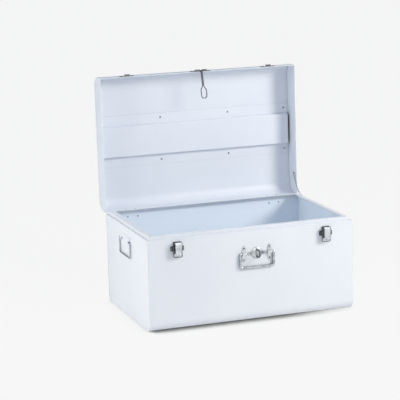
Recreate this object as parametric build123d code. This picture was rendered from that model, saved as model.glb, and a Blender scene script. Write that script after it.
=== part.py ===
from build123d import *
import math
import os

# A small tin trunk, lid open. Millimetres, +Z up, origin on the floor under the middle of
# the body, front towards -Y. Every lid piece is shaped with the lid shut and then opened.

# --- driving dimensions: body and lid ---
trunk_length = 600.0
trunk_depth = 388.0
body_height = 254.0
lid_height = 61.0
sheet = 0.8
body_edge_radius = 26.0
lid_edge_radius = 30.0
seam_width = 6.0
seam_fit = 0.1
lid_open_angle = 91.3
lid_seat_gap = 0.4
hem_height = 7.0
hem_sheet = 0.8

# --- inner rim of the body, which the lid closes over ---
rim_leg = 22.0
rim_ledge = 8.0
rim_upstand = 9.5
rim_flange = 14.0
rim_bend = 0.8
rim_fit = 0.05
rim_rivet_drop = 15.8
rim_rivet_spacing = 101.0
rim_corner_rivet_drop = 8.0
rim_corner_rivet_inset = 10.0

# --- rivets and running fits ---
rivet_shank_radius = 1.6
rivet_head_radius = 2.6
rivet_head_height = 1.2
rivet_tail_radius = 2.2
rivet_tail_height = 0.7
rivet_hole_gap = 0.05
running_gap = 0.08
loose_gap = 0.3
plate_sheet = 1.2
bend_spare = 0.1

# --- hinges ---
hinge_inset = 80.0
hinge_leaf_width = 44.0
hinge_leaf_reach = 28.0
hinge_axis_out = 3.0
hinge_barrel_radius = 2.6
hinge_pin_radius = 1.3
hinge_knuckles = 5
hinge_knuckle_gap = 0.4
hinge_rivet_spacing = 30.0
hinge_rivet_reach = 14.5

# --- stiffening channel inside the lid ---
channel_width = 151.0
channel_face = 88.0
channel_height = 14.0
channel_sheet = 1.0
channel_bend = 1.0
channel_end_gap = 8.0
channel_rivet_rows = 124.0
channel_end_rivet_inset = 8.0
channel_middle_rivet_spacing = 210.0

# --- draw catches on the front, and their keepers on the lid ---
catch_inset = 83.0
catch_base_width = 22.0
catch_base_top = -8.5
catch_base_bottom = -42.0
catch_tab_width = 39.0
catch_tab_height = 14.0
catch_tab_drop = 27.0
catch_corner = 3.0
catch_rivet_spacing = 31.0
catch_ear_sheet = 1.0
catch_ear_radius = 5.0
lever_axis_out = 11.0
lever_axis_drop = 13.5
lever_pin_radius = 1.6
lever_width = 18.0
lever_sheet = 1.0
lever_roll_radius = 4.5
lever_length = 30.0
lever_notch_radius = 2.6
lever_cheek_length = 22.0
lever_lip = 1.2
lever_cheek_foot = 2.6
lever_cheek_wall = 1.2
draw_axis_out = 7.0
draw_axis_drop = 21.0
draw_wire_radius = 1.3
draw_corner = 3.0
draw_end_bend = 1.8
draw_end_proud = 0.8
draw_side_gap = 0.4
keeper_width = 42.0
keeper_bottom = 3.0
keeper_height = 15.0
keeper_hook_width = 16.0
keeper_hook_sheet = 1.0
keeper_hook_rise = 4.2
keeper_bar_height = 8.0
keeper_rivet_spacing = 33.0
keeper_gap = 0.5

# --- staple, hasp and carrying handle, which stand a little right of the middle ---
set_x = 12.0
set_drop = 63.0
staple_plate_width = 54.0
staple_plate_height = 16.0
staple_plate_tip = 4.0
staple_rivet_spacing = 34.4
staple_boss_radius = 16.5
staple_boss_height = 2.6
staple_wire_radius = 2.25
staple_half_height = 9.9
staple_reach = 26.0
staple_tail = 1.5
hasp_x = 5.5
hasp_plate_width = 63.0
hasp_plate_height = 17.0
hasp_plate_corner = 4.0
hasp_wire_radius = 1.5
hasp_axis_rise = 3.2
hasp_neck = 6.0
hasp_strand_offset = 1.7
hasp_bridge_start = 4.0
hasp_bridge_length = 14.0
hasp_bridge_sheet = 1.0
hasp_loop_inner_width = 13.0
hasp_loop_inner_length = 32.6
hasp_loop_drop = 76.0
hasp_shoulder = 8.0
hasp_rivet_spacing = 50.0
hasp_rivet_rise = 11.5
hasp_neck_bend = 1.7
hasp_end_inset = 1.0

handle_plate_inset = 11.3
handle_plate_width = 15.7
handle_plate_length = 45.0
handle_plate_tip = 4.0
handle_rivet_spacing = 32.0
handle_bridge_length = 13.0
handle_bail_width = 97.0
handle_bail_drop = 38.5
handle_bail_radius = 3.5
handle_pin_radius = 2.5
handle_pin_reach = 18.0
handle_bail_corner = 6.0
handle_bridge_sheet = 1.2

# --- drop handles on the two ends ---
end_handle_y = 8.0
end_handle_drop = 38.0
end_plate_margin = 2.5
end_plate_height = 22.0
end_plate_lift = 3.0
end_plate_corner = 5.0
end_bridge_inset = 14.0
end_bridge_length = 11.0
end_rivet_spacing = 44.0
end_bail_width = 96.0
end_bail_drop = 43.0
end_bail_radius = 2.0
end_pin_radius = 1.8
end_pin_reach = 19.0
end_bail_corner = 7.0
# --- lid chain at the right end ---
chain_x_inset = 5.2
chain_lid_radius = 66.0
chain_lid_height = 15.0
chain_body_forward = 40.0
chain_body_rise = 5.0
chain_links = 15
chain_link_length = 8.4
chain_link_width = 4.8
chain_wire_radius = 0.6
chain_link_play = 0.1
chain_stud_radius = 1.0
chain_stud_head_radius = 2.2
chain_stud_head = 0.6
chain_stud_clearance = 0.4

# --- values worked out from the driving dimensions ---
half_length = trunk_length / 2
half_depth = trunk_depth / 2
wall_top = body_height
lid_rim = body_height + lid_seat_gap
lid_top = lid_rim + lid_height
hinge_y = half_depth + hinge_axis_out
hinge_axis = Axis((0, hinge_y, wall_top), (1, 0, 0))
end_wall = 2 * sheet
hinge_spacing = trunk_length - 2 * hinge_inset
catch_spacing = trunk_length - 2 * catch_inset
channel_length = trunk_length - 2 * channel_end_gap
channel_end_spacing = channel_length - 2 * channel_end_rivet_inset
handle_plate_spacing = handle_bail_width - 2 * handle_plate_inset
end_bridge_spacing = end_bail_width - 2 * end_bridge_inset
end_plate_width = end_bridge_spacing + end_bridge_length + 2 * end_plate_margin
draw_reach = math.hypot(
    draw_axis_out - (plate_sheet + draw_wire_radius + keeper_gap),
    keeper_bar_height + draw_axis_drop,
)
draw_half_width = (
    lever_width / 2 + loose_gap + catch_ear_sheet + draw_side_gap + draw_wire_radius
)
hasp_axis_out = plate_sheet + loose_gap + hasp_wire_radius
handle_axis_out = plate_sheet + loose_gap + handle_pin_radius
end_axis_out = plate_sheet + loose_gap + end_pin_radius


def front_plane(x, drop):
    """A frame on the front wall: local X right, Y up, Z out of the wall."""
    return Plane(origin=(x, -half_depth, wall_top - drop), x_dir=(1, 0, 0), z_dir=(0, -1, 0))


def back_plane(x, drop):
    """A frame on the back wall: local X left, Y up, Z out of the wall."""
    return Plane(origin=(x, half_depth, wall_top - drop), x_dir=(-1, 0, 0), z_dir=(0, 1, 0))


def end_plane(side, y, drop):
    """A frame on an end panel, side -1 left or 1 right: Y up, Z out of the panel."""
    origin = (side * (half_length - sheet), y, wall_top - drop)
    return Plane(origin=origin, x_dir=(0, side, 0), z_dir=(side, 0, 0))


def opened(shape):
    """A lid piece turned from shut to open about the hinge axis."""
    return shape.rotate(hinge_axis, -lid_open_angle)


def box(x_span, y_span, z_span):
    """A box between the given low and high values on each axis."""
    size = (x_span[1] - x_span[0], y_span[1] - y_span[0], z_span[1] - z_span[0])
    corner = (Align.MIN, Align.MIN, Align.MIN)
    return Pos(x_span[0], y_span[0], z_span[0]) * Box(*size, align=corner)


def rod_x(radius, x_low, x_high, y=0.0, z=0.0):
    """A round bar along X."""
    middle = (x_low + x_high) / 2
    return Pos(middle, y, z) * Rot(0, 90, 0) * Cylinder(radius, x_high - x_low)


def tray_face(width, height, radius, lift=0.0):
    """An upright outline in the YZ plane with its two lower corners rounded."""
    half = width / 2
    corners = [(0, -half, height), (0, -half, lift), (0, half, lift), (0, half, height)]
    sides = FilletPolyline(*corners, radius=radius)
    return make_face(Curve() + [sides, Line(corners[3], corners[0])])


def tray_block(face, x_low, x_high):
    """An outline in the YZ plane drawn out along X."""
    return Pos(x_low, 0, 0) * extrude(face, x_high - x_low, dir=(1, 0, 0))


def folded_section(points, thickness, bend):
    """The cross-section of a folded sheet, from the centre line's corner points."""
    line = [Vector(*p) for p in points]
    steps = [(line[i + 1] - line[i]).normalized() for i in range(len(line) - 1)]
    normals = [Vector(-d.Y, d.X) for d in steps]
    sides = []
    for sign in (1, -1):
        edge = [line[0] + normals[0] * (sign * thickness / 2)]
        radii = []
        for i in range(1, len(line) - 1):
            mitre = normals[i - 1] + normals[i]
            reach = sign * thickness / mitre.dot(mitre)
            edge.append(line[i] + mitre * reach)
            turn = steps[i - 1].cross(steps[i]).Z
            radii.append(bend if turn * sign > 0 else bend + thickness)
        edge.append(line[-1] + normals[-1] * (sign * thickness / 2))
        sides.append((edge, radii))
    lines = [FilletPolyline(*edge, radius=radii) for edge, radii in sides]
    caps = [Line(sides[0][0][i], sides[1][0][i]) for i in (0, -1)]
    return make_face(Curve() + lines + caps)


def lozenge(width, height, tip_radius):
    """A flat outline, widest in the middle, with round tips on its longer axis."""
    long_side = max(width, height)
    middle = Circle(min(width, height) / 2)
    reach = long_side / 2 - tip_radius
    along = (reach, 0) if width > height else (0, reach)
    tips = [Pos(sign * along[0], sign * along[1]) * Circle(tip_radius) for sign in (1, -1)]
    return make_hull((middle + tips).edges())


def pressed_bridge(length, inner_radius, gauge, axis_height):
    """An arch pressed up out of a plate, along local X, for a wire to turn under."""
    outer = inner_radius + gauge
    arch = rod_x(outer, -length / 2, length / 2, z=axis_height)
    arch += box((-length / 2, length / 2), (-outer, outer), (0, axis_height))
    arch -= rod_x(inner_radius, -length, length, z=axis_height)
    arch -= box((-length, length), (-inner_radius, inner_radius), (-gauge, axis_height))
    return arch


def dome(radius, height):
    """A shallow spherical cap standing on Z = 0."""
    sphere_radius = (radius**2 + height**2) / (2 * height)
    cap = Pos(0, 0, height - sphere_radius) * Sphere(sphere_radius)
    return cap & Cylinder(sphere_radius, height, align=(Align.CENTER, Align.CENTER, Align.MIN))


def rivet(grip):
    """A domed rivet: its head's seat at Z = 0, its shank through grip, a flat tail behind."""
    down = (Align.CENTER, Align.CENTER, Align.MAX)
    body = dome(rivet_head_radius, rivet_head_height)
    body += Cylinder(rivet_shank_radius, grip + rivet_tail_height, align=down)
    body += Pos(0, 0, -grip) * Cylinder(rivet_tail_radius, rivet_tail_height, align=down)
    return body


def rivets(places):
    """A group of separate rivets. Each place is a plane on the stack's face, and its grip."""
    return Compound(children=[plane * rivet(grip) for plane, grip in places])


def drilled(shape, places):
    """A sheet with a hole for each rivet that passes through it."""
    hole_radius = rivet_shank_radius + rivet_hole_gap
    for plane, grip in places:
        reach = grip + 2 * rivet_head_height
        hole = Cylinder(hole_radius, reach, align=(Align.CENTER, Align.CENTER, Align.MAX))
        shape -= plane * Pos(0, 0, rivet_head_height) * hole
    return shape


def raised(frame, height):
    """The same frame, moved out along its own Z."""
    return frame * Pos(0, 0, height)


def spots(plane, points, out, grip):
    """Rivet places at points of a frame, their heads seated at height out."""
    return [(raised(plane * Pos(x, y, 0), out), grip) for x, y in points]


# --- rivet places, shared by the pieces that each rivet holds ---
rim_stack = sheet + rim_fit + sheet


def mirrored_pairs(half_x, y=0.0):
    """The two points at plus and minus half_x."""
    return [(-half_x, y), (half_x, y)]


def rim_rivet_places():
    """Rivets that hold the inner rim: two on each end and two near the front corners."""
    places = []
    for side in (-1, 1):
        points = mirrored_pairs(rim_rivet_spacing / 2)
        places += spots(end_plane(side, 0, rim_rivet_drop), points, 0, rim_stack)
    corner_x = half_length - rim_corner_rivet_inset
    points = mirrored_pairs(corner_x)
    places += spots(front_plane(0, rim_corner_rivet_drop), points, 0, rim_stack)
    return places


def hinge_places(side, on_lid):
    """The two rivets of one hinge leaf, side -1 left or 1 right."""
    points = mirrored_pairs(hinge_rivet_spacing / 2)
    plane = back_plane(side * hinge_spacing / 2, -hinge_rivet_reach if on_lid else hinge_rivet_reach)
    wall = sheet if on_lid else rim_stack
    return spots(plane, points, plate_sheet, plate_sheet + wall)


def catch_places(side):
    """The two rivets of one catch's base."""
    plane = front_plane(side * catch_spacing / 2, catch_tab_drop)
    points = mirrored_pairs(catch_rivet_spacing / 2)
    return spots(plane, points, plate_sheet, plate_sheet + sheet)


def keeper_places(side):
    """The two rivets of one keeper, on the lid."""
    plane = front_plane(side * catch_spacing / 2, -keeper_bottom - keeper_height / 2)
    points = mirrored_pairs(keeper_rivet_spacing / 2)
    return spots(plane, points, plate_sheet, plate_sheet + sheet)


def hasp_places():
    """The two rivets of the hasp's plate, on the lid."""
    plane = front_plane(hasp_x, -hasp_rivet_rise)
    points = mirrored_pairs(hasp_rivet_spacing / 2)
    return spots(plane, points, plate_sheet, plate_sheet + sheet)


def staple_places():
    """The two rivets of the staple's plate."""
    points = mirrored_pairs(staple_rivet_spacing / 2)
    return spots(front_plane(set_x, set_drop), points, plate_sheet, plate_sheet + sheet)


def handle_places(side):
    """The two rivets of one plate of the front handle."""
    plane = front_plane(set_x + side * handle_plate_spacing / 2, set_drop)
    points = [(0, -handle_rivet_spacing / 2), (0, handle_rivet_spacing / 2)]
    return spots(plane, points, plate_sheet, plate_sheet + sheet)


def end_handle_places(side):
    """The two rivets of an end handle's plate."""
    plane = end_plane(side, end_handle_y, end_handle_drop - end_plate_lift)
    points = mirrored_pairs(end_rivet_spacing / 2)
    return spots(plane, points, plate_sheet, plate_sheet + sheet)


def channel_places():
    """The eight rivets of the lid's channel, their heads on its flanges inside the lid."""
    plane = Plane(origin=(0, 0, lid_top - sheet - channel_sheet), x_dir=(1, 0, 0), z_dir=(0, 0, -1))
    columns = (channel_end_spacing, channel_middle_rivet_spacing)
    rows = (-channel_rivet_rows / 2, channel_rivet_rows / 2)
    points = [(sign * run / 2, y) for run in columns for sign in (-1, 1) for y in rows]
    return spots(plane, points, 0, channel_sheet + sheet)


def lid_anchor(x):
    """Where the chain's stud stands in the lid, with the lid shut."""
    return (x, hinge_y - chain_lid_radius, wall_top + chain_lid_height)


# --- body ---
def wrap_sheet(height, radius):
    """A sheet bent to an open tray, as long as the end panels' outer faces are apart."""
    reach = half_length - sheet
    shell = tray_block(tray_face(trunk_depth, height, radius), -reach, reach)
    inner = tray_face(trunk_depth - 2 * sheet, height, radius - sheet, sheet)
    return shell - tray_block(inner, -reach, reach)


def end_seam(side, height, radius):
    """The seam that laps over the wrap's edge and the rim of an end panel."""
    outer = tray_face(trunk_depth, height, radius)
    window = tray_face(trunk_depth - 2 * seam_width, height, radius - seam_width, seam_width)
    low = side * half_length - (sheet if side > 0 else 0)
    return tray_block(outer - window, low, low + sheet)


def end_panel(side, height, radius):
    """The flat end sheet that stands inside the wrap, behind its seam."""
    inset = sheet + seam_fit
    face = tray_face(trunk_depth - 2 * inset, height, radius - inset, inset)
    low = side * (half_length - sheet) - (sheet if side > 0 else 0)
    return tray_block(face, low, low + sheet)


def staple_leg_holes(shape):
    """Holes for the staple's two legs, through whatever stands at the staple."""
    plane = front_plane(set_x, set_drop)
    radius = staple_wire_radius + rivet_hole_gap
    for sign in (1, -1):
        place = plane * Pos(0, sign * staple_half_height, 0)
        shape -= place * Cylinder(radius, 4 * staple_boss_height)
    return shape


def body_wrap():
    """Front, bottom and back in one sheet."""
    places = [p for side in (-1, 1) for p in hinge_places(side, False) + catch_places(side)]
    places += [p for side in (-1, 1) for p in handle_places(side)]
    places += staple_places() + rim_rivet_places()
    return staple_leg_holes(drilled(wrap_sheet(wall_top, body_edge_radius), places))


def body_end(side):
    """One end panel of the body."""
    places = rim_rivet_places() + end_handle_places(side)
    return drilled(end_panel(side, wall_top, body_edge_radius), places)


def rim_strip(run, depth_to_wall, wall):
    """A folded strip along local X for a wall at local Y = 0, mitred at both corners."""
    face = wall + rim_fit + sheet / 2
    upstand = rim_ledge + sheet / 2
    points = [
        (face, -rim_leg),
        (face, -sheet / 2),
        (upstand, -sheet / 2),
        (upstand, rim_upstand - sheet / 2),
        (rim_ledge + rim_flange, rim_upstand - sheet / 2),
    ]
    section = folded_section(points, sheet, rim_bend)
    plane = Plane(origin=(-run / 2, 0, 0), x_dir=(0, 1, 0), z_dir=(1, 0, 0))
    strip = extrude(plane * section, run)
    reach = rim_ledge + 2 * rim_flange
    overlap = run / 2 - rim_fit
    mitre = Polyline(
        (-overlap, 0), (overlap, 0), (overlap - reach, reach), (-overlap + reach, reach), close=True
    )
    low = Pos(0, 0, -2 * rim_leg)
    block = low * extrude(make_face(mitre), 4 * rim_leg, dir=(0, 0, 1))
    strip = strip & block
    return Pos(0, -depth_to_wall, wall_top) * strip


def rim(turn, run, depth_to_wall, wall):
    """One of the four rim strips, turned about Z to its wall."""
    strip = Rot(0, 0, turn) * rim_strip(run, depth_to_wall, wall)
    reach_x = half_length - end_wall - rim_fit
    reach_y = half_depth - sheet - rim_fit
    inside = box((-reach_x, reach_x), (-reach_y, reach_y), (0, lid_top))
    strip = strip & inside
    places = rim_rivet_places() + hinge_places(-1, False) + hinge_places(1, False)
    strip = drilled(strip, places)
    return chain_hole(strip, body_anchor(half_length - rim_ledge))


def body_anchor(x):
    """Where the chain's stud stands on the body's right rim."""
    return (x, hinge_y - chain_body_forward, wall_top + chain_body_rise)


def chain_hole(shape, anchor):
    """The hole through a sheet, near the right end, for one of the chain's studs."""
    x, y, z = anchor
    radius = chain_stud_radius + rivet_hole_gap
    return shape - rod_x(radius, x - 2 * sheet, x + 2 * sheet, y, z)


# --- lid, shaped shut ---
def upturned(shape):
    """A tray shape turned over to stand as the lid."""
    return Pos(0, 0, lid_top) * (Rot(180, 0, 0) * shape)


def lid_hem(x_span, y_span):
    """The edge of a lid sheet folded back flat inside."""
    return box(x_span, y_span, (lid_rim, lid_rim + hem_height))


def lid_wrap():
    """Front, top and back of the lid in one sheet, hemmed at the rim."""
    shell = upturned(wrap_sheet(lid_height, lid_edge_radius))
    reach = half_length - end_wall - hem_sheet - seam_fit
    inner = half_depth - sheet
    for sign in (1, -1):
        low, high = sorted((sign * inner, sign * (inner - hem_sheet)))
        shell += lid_hem((-reach, reach), (low, high))
    places = [p for side in (-1, 1) for p in hinge_places(side, True) + keeper_places(side)]
    return drilled(shell, places + hasp_places() + channel_places())


def lid_end(side):
    """One end panel of the lid."""
    panel = upturned(end_panel(side, lid_height, lid_edge_radius))
    face = half_length - end_wall
    low, high = sorted((side * face, side * (face - hem_sheet)))
    reach = half_depth - sheet - seam_fit
    panel += lid_hem((low, high), (-reach, reach))
    return chain_hole(panel, lid_anchor(face))


def lid_channel():
    """The hat-section strip that stiffens the lid's top."""
    flange = channel_sheet / 2
    crown = channel_height - channel_sheet / 2
    points = [
        (-channel_width / 2, flange),
        (-channel_face / 2, flange),
        (-channel_face / 2, crown),
        (channel_face / 2, crown),
        (channel_face / 2, flange),
        (channel_width / 2, flange),
    ]
    section = folded_section(points, channel_sheet, channel_bend)
    origin = (-channel_length / 2, 0, lid_top - sheet)
    plane = Plane(origin=origin, x_dir=(0, -1, 0), z_dir=(1, 0, 0))
    return drilled(extrude(plane * section, channel_length), channel_places())


# --- hinges ---
def knuckle_spans(on_lid):
    """The stretches of barrel that belong to the lid's leaf or to the body's."""
    step = hinge_leaf_width / hinge_knuckles
    start = -hinge_leaf_width / 2
    odd = 1 if on_lid else 0
    spans = []
    for i in range(odd, hinge_knuckles, 2):
        low = start + i * step + (hinge_knuckle_gap / 2 if i else 0)
        last = i == hinge_knuckles - 1
        spans.append((low, start + (i + 1) * step - (0 if last else hinge_knuckle_gap / 2)))
    return spans


def hinge_leaf(side, on_lid):
    """One leaf with its knuckles, shaped with the lid shut."""
    up = 1 if on_lid else -1
    half = hinge_leaf_width / 2
    near, far = sorted((up * (hinge_barrel_radius + loose_gap), up * hinge_leaf_reach))
    leaf = box((-half, half), (near, far), (0, plate_sheet))
    corners = leaf.edges().filter_by(Axis.Z).group_by(Axis.Y)[-1 if on_lid else 0]
    leaf = fillet(corners, catch_corner)
    for low, high in knuckle_spans(on_lid):
        leaf += rod_x(hinge_barrel_radius, low, high, z=hinge_axis_out)
        web = sorted((0, up * (hinge_barrel_radius + 2 * loose_gap)))
        leaf += box((low, high), web, (0, plate_sheet))
    leaf -= rod_x(hinge_pin_radius + running_gap, -half - 1, half + 1, z=hinge_axis_out)
    leaf = back_plane(side * hinge_spacing / 2, 0) * leaf
    return drilled(leaf, hinge_places(side, on_lid))


def hinge_pin(side):
    """The pin through one hinge's knuckles."""
    half = hinge_leaf_width / 2
    return Pos(side * hinge_spacing / 2, hinge_y, wall_top) * rod_x(hinge_pin_radius, -half, half)


# --- draw catches ---
def catch_base(side):
    """The riveted base plate with the two ears that carry the lever's pin."""
    middle = (catch_base_top + catch_base_bottom) / 2
    face = Pos(0, middle) * Rectangle(catch_base_width, catch_base_top - catch_base_bottom)
    face += Pos(0, -catch_tab_drop) * Rectangle(catch_tab_width, catch_tab_height)
    face = fillet(face.vertices(), catch_corner)
    base = extrude(face, plate_sheet)
    inner = lever_width / 2 + loose_gap
    for low in (inner, -inner - catch_ear_sheet):
        high = low + catch_ear_sheet
        base += rod_x(catch_ear_radius, low, high, -lever_axis_drop, lever_axis_out)
        spread = (-lever_axis_drop - catch_ear_radius, -lever_axis_drop + catch_ear_radius)
        base += box((low, high), spread, (0, lever_axis_out))
    bore = lever_pin_radius + rivet_hole_gap
    base -= rod_x(bore, -catch_tab_width, catch_tab_width, -lever_axis_drop, lever_axis_out)
    base = front_plane(side * catch_spacing / 2, 0) * base
    return drilled(base, catch_places(side))


def catch_pin(side):
    """The lever's pin, held in the base's ears."""
    half = lever_width / 2 + loose_gap + catch_ear_sheet
    pin = rod_x(lever_pin_radius, -half, half, -lever_axis_drop, lever_axis_out)
    return front_plane(side * catch_spacing / 2, 0) * pin


def lever_cheek(low):
    """One side wall of the lever, which carries the wire loop's end."""
    back = draw_axis_out - draw_wire_radius - lever_cheek_wall
    front = lever_axis_out + lever_roll_radius - lever_sheet / 2
    outline = Polyline(
        (-lever_axis_drop, lever_axis_out),
        (-lever_axis_drop, front),
        (-lever_axis_drop - lever_cheek_length, front),
        (-draw_axis_drop - lever_cheek_foot, back),
        (-draw_axis_drop + lever_cheek_foot, back),
        close=True,
    )
    plane = Plane(origin=(low, 0, 0), x_dir=(0, 1, 0), z_dir=(1, 0, 0))
    return extrude(plane * make_face(outline), lever_sheet)


def catch_lever(side):
    """The hanging lever: a plate rolled round its pin, with a cheek on each side."""
    half = lever_width / 2
    front = lever_axis_out + lever_roll_radius
    bottom = -lever_axis_drop - lever_length
    lever = rod_x(lever_roll_radius, -half, half, -lever_axis_drop, lever_axis_out)
    plate = Pos(0, (bottom - lever_axis_drop) / 2) * Rectangle(lever_width, lever_length)
    plate = fillet(plate.vertices().group_by(Axis.Y)[0], catch_corner)
    plate -= Pos(0, bottom) * Circle(lever_notch_radius)
    lever += Pos(0, 0, front - lever_sheet) * extrude(plate, lever_sheet)
    for low in (-half, half - lever_sheet):
        lever += lever_cheek(low)
    lip = half - catch_corner
    lever += rod_x(lever_lip, -lip, -lever_notch_radius, bottom + lever_lip, front - lever_lip / 2)
    lever += rod_x(lever_lip, lever_notch_radius, lip, bottom + lever_lip, front - lever_lip / 2)
    bore = lever_pin_radius + running_gap
    lever -= rod_x(bore, -half - 1, half + 1, -lever_axis_drop, lever_axis_out)
    hole = draw_wire_radius + running_gap
    lever -= rod_x(hole, -half - 1, half + 1, -draw_axis_drop, draw_axis_out)
    return front_plane(side * catch_spacing / 2, 0) * lever


def swept_wire(points, radius, bends):
    """Round wire along straight runs with a bend at each corner."""
    path = FilletPolyline(*points, radius=bends)
    start = Plane(origin=path @ 0, z_dir=path % 0)
    return sweep(start * Circle(radius), path=path)


def catch_loop(side):
    """The wire loop that hangs round the lever and pulls on the lid's keeper."""
    inner = lever_width / 2 - lever_sheet - draw_end_proud
    top = -draw_axis_drop
    low = top - draw_reach
    points = [
        (-inner, top, draw_axis_out),
        (-draw_half_width, top, draw_axis_out),
        (-draw_half_width, low, draw_axis_out),
        (draw_half_width, low, draw_axis_out),
        (draw_half_width, top, draw_axis_out),
        (inner, top, draw_axis_out),
    ]
    bends = [draw_end_bend, draw_corner, draw_corner, draw_end_bend]
    loop = swept_wire(points, draw_wire_radius, bends)
    return front_plane(side * catch_spacing / 2, 0) * loop


def keeper(side):
    """The lid's plate with the hook that the wire loop closes over."""
    width = keeper_width
    middle = keeper_bottom + keeper_height / 2
    face = Pos(0, middle) * Rectangle(width, keeper_height)
    plate = extrude(fillet(face.vertices(), catch_corner), plate_sheet)
    half = keeper_hook_width / 2
    bar_out = plate_sheet + keeper_gap + draw_wire_radius
    floor_top = keeper_bar_height - draw_wire_radius - keeper_gap
    lip_in = bar_out + draw_wire_radius + keeper_gap
    lip_out = lip_in + keeper_hook_sheet
    floor = (floor_top - keeper_hook_sheet, floor_top)
    plate += box((-half, half), floor, (0, lip_out))
    plate += box((-half, half), (floor[0], floor_top + keeper_hook_rise), (lip_in, lip_out))
    plate = front_plane(side * catch_spacing / 2, 0) * plate
    return drilled(plate, keeper_places(side))


# --- hasp and staple ---
def hasp_plate():
    """The lid's plate with two pressed bridges that trap the hasp's wire ends."""
    low = lid_seat_gap
    face = Pos(0, low + hasp_plate_height / 2) * Rectangle(hasp_plate_width, hasp_plate_height)
    plate = extrude(fillet(face.vertices(), hasp_plate_corner), plate_sheet)
    rise = lid_seat_gap + hasp_axis_rise
    inner = hasp_wire_radius + loose_gap
    for sign in (1, -1):
        middle = sign * (hasp_bridge_start + hasp_bridge_length / 2)
        arch = pressed_bridge(hasp_bridge_length, inner, hasp_bridge_sheet, hasp_axis_out)
        plate += Pos(middle, rise, 0) * arch
        tunnel = box(
            (middle - hasp_bridge_length / 2, middle + hasp_bridge_length / 2),
            (rise - inner, rise + inner),
            (plate_sheet, hasp_axis_out),
        )
        plate -= tunnel
    return drilled(front_plane(hasp_x, 0) * plate, hasp_places())


def hasp_lean():
    """How far the hasp's wire leans sideways for each millimetre that it hangs."""
    return (set_x - hasp_x) / (set_drop + lid_seat_gap + hasp_axis_rise)


def hasp_wire():
    """One wire: an end in each bridge, a doubled neck and stem, and a long loop."""
    lean = hasp_lean()
    end_reach = hasp_bridge_start + hasp_bridge_length - hasp_end_inset
    rise = lid_seat_gap + hasp_axis_rise
    half = hasp_loop_inner_width / 2 + hasp_wire_radius
    bottom = rise + hasp_loop_drop + hasp_wire_radius
    top = rise + hasp_loop_drop - hasp_loop_inner_length
    out = hasp_neck
    side = [
        (end_reach, 0, 0),
        (hasp_strand_offset, 0, 0),
        (hasp_strand_offset, 0, out),
        (hasp_strand_offset, -top, out),
        (half, -top - hasp_shoulder, out),
        (half, -bottom, out),
    ]
    right = [(x - y * lean, y, z) for x, y, z in side]
    left = [(-x - y * lean, y, z) for x, y, z in reversed(side)]
    bends = [hasp_neck_bend, hasp_neck_bend, 2 * hasp_shoulder, hasp_shoulder, half - bend_spare]
    wire = swept_wire(right + left, hasp_wire_radius, bends + bends[::-1])
    return wire


def hasp_pivot(is_open):
    """The hasp's axis on the hasp plate, lid open or shut."""
    point = Pos(hasp_x, -half_depth - hasp_axis_out, lid_rim + hasp_axis_rise) * Vertex(0, 0, 0)
    return opened(point).center() if is_open else point.center()


def hasp():
    """The hasp wire hanging from its plate on the open lid."""
    place = Plane(origin=hasp_pivot(True), x_dir=(1, 0, 0), z_dir=(0, -1, 0))
    return place * hasp_wire()


def staple_plate():
    """A lozenge plate with a domed boss under the staple."""
    plate = extrude(lozenge(staple_plate_width, staple_plate_height, staple_plate_tip), plate_sheet)
    plate += dome(staple_boss_radius, plate_sheet + staple_boss_height)
    plate = front_plane(set_x, set_drop) * plate
    return staple_leg_holes(drilled(plate, staple_places()))


def staple():
    """A bent-wire staple whose two legs pass through the boss and the wall."""
    nose = staple_reach - staple_wire_radius - staple_half_height
    tail = -sheet - staple_tail
    points = [
        (0, staple_half_height, tail),
        (0, staple_half_height, nose + staple_half_height),
        (0, -staple_half_height, nose + staple_half_height),
        (0, -staple_half_height, tail),
    ]
    bend = staple_half_height - bend_spare
    wire = swept_wire(points, staple_wire_radius, [bend, bend])
    return front_plane(set_x, set_drop) * wire


# --- handles ---
def bail(width, drop, radius, pin_radius, pin_reach, corner):
    """A hanging U-shaped handle, with a pin turned in from the top of each arm."""
    half = width / 2
    points = [(-half, 0, 0), (-half, -drop, 0), (half, -drop, 0), (half, 0, 0)]
    handle = swept_wire(points, radius, [corner, corner])
    for sign in (1, -1):
        handle += Pos(sign * half, 0, 0) * Sphere(radius)
        low, high = sorted((sign * half, sign * (half - pin_reach)))
        handle += rod_x(pin_radius, low, high)
    return handle


def handle_plate(side):
    """One lozenge plate of the front handle, with its pressed bridge."""
    outline = lozenge(handle_plate_width, handle_plate_length, handle_plate_tip)
    plate = extrude(outline, plate_sheet)
    inner = handle_pin_radius + loose_gap
    plate += pressed_bridge(handle_bridge_length, inner, handle_bridge_sheet, handle_axis_out)
    tunnel_half = handle_bridge_length / 2
    plate -= box((-tunnel_half, tunnel_half), (-inner, inner), (plate_sheet, handle_axis_out))
    x = set_x + side * handle_plate_spacing / 2
    return drilled(front_plane(x, set_drop) * plate, handle_places(side))


def handle_bail():
    """The front carrying handle."""
    shape = bail(
        handle_bail_width,
        handle_bail_drop,
        handle_bail_radius,
        handle_pin_radius,
        handle_pin_reach,
        handle_bail_corner,
    )
    return raised(front_plane(set_x, set_drop), handle_axis_out) * shape


def end_handle_plate(side):
    """The plate of an end handle, with a pressed bridge near each end."""
    face = Pos(0, end_plate_lift) * Rectangle(end_plate_width, end_plate_height)
    plate = extrude(fillet(face.vertices(), end_plate_corner), plate_sheet)
    inner = end_pin_radius + loose_gap
    for sign in (1, -1):
        middle = sign * end_bridge_spacing / 2
        arch = pressed_bridge(end_bridge_length, inner, handle_bridge_sheet, end_axis_out)
        plate += Pos(middle, 0, 0) * arch
        half = end_bridge_length / 2
        plate -= box((middle - half, middle + half), (-inner, inner), (plate_sheet, end_axis_out))
    plate = end_plane(side, end_handle_y, end_handle_drop) * plate
    return drilled(plate, end_handle_places(side))


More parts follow.
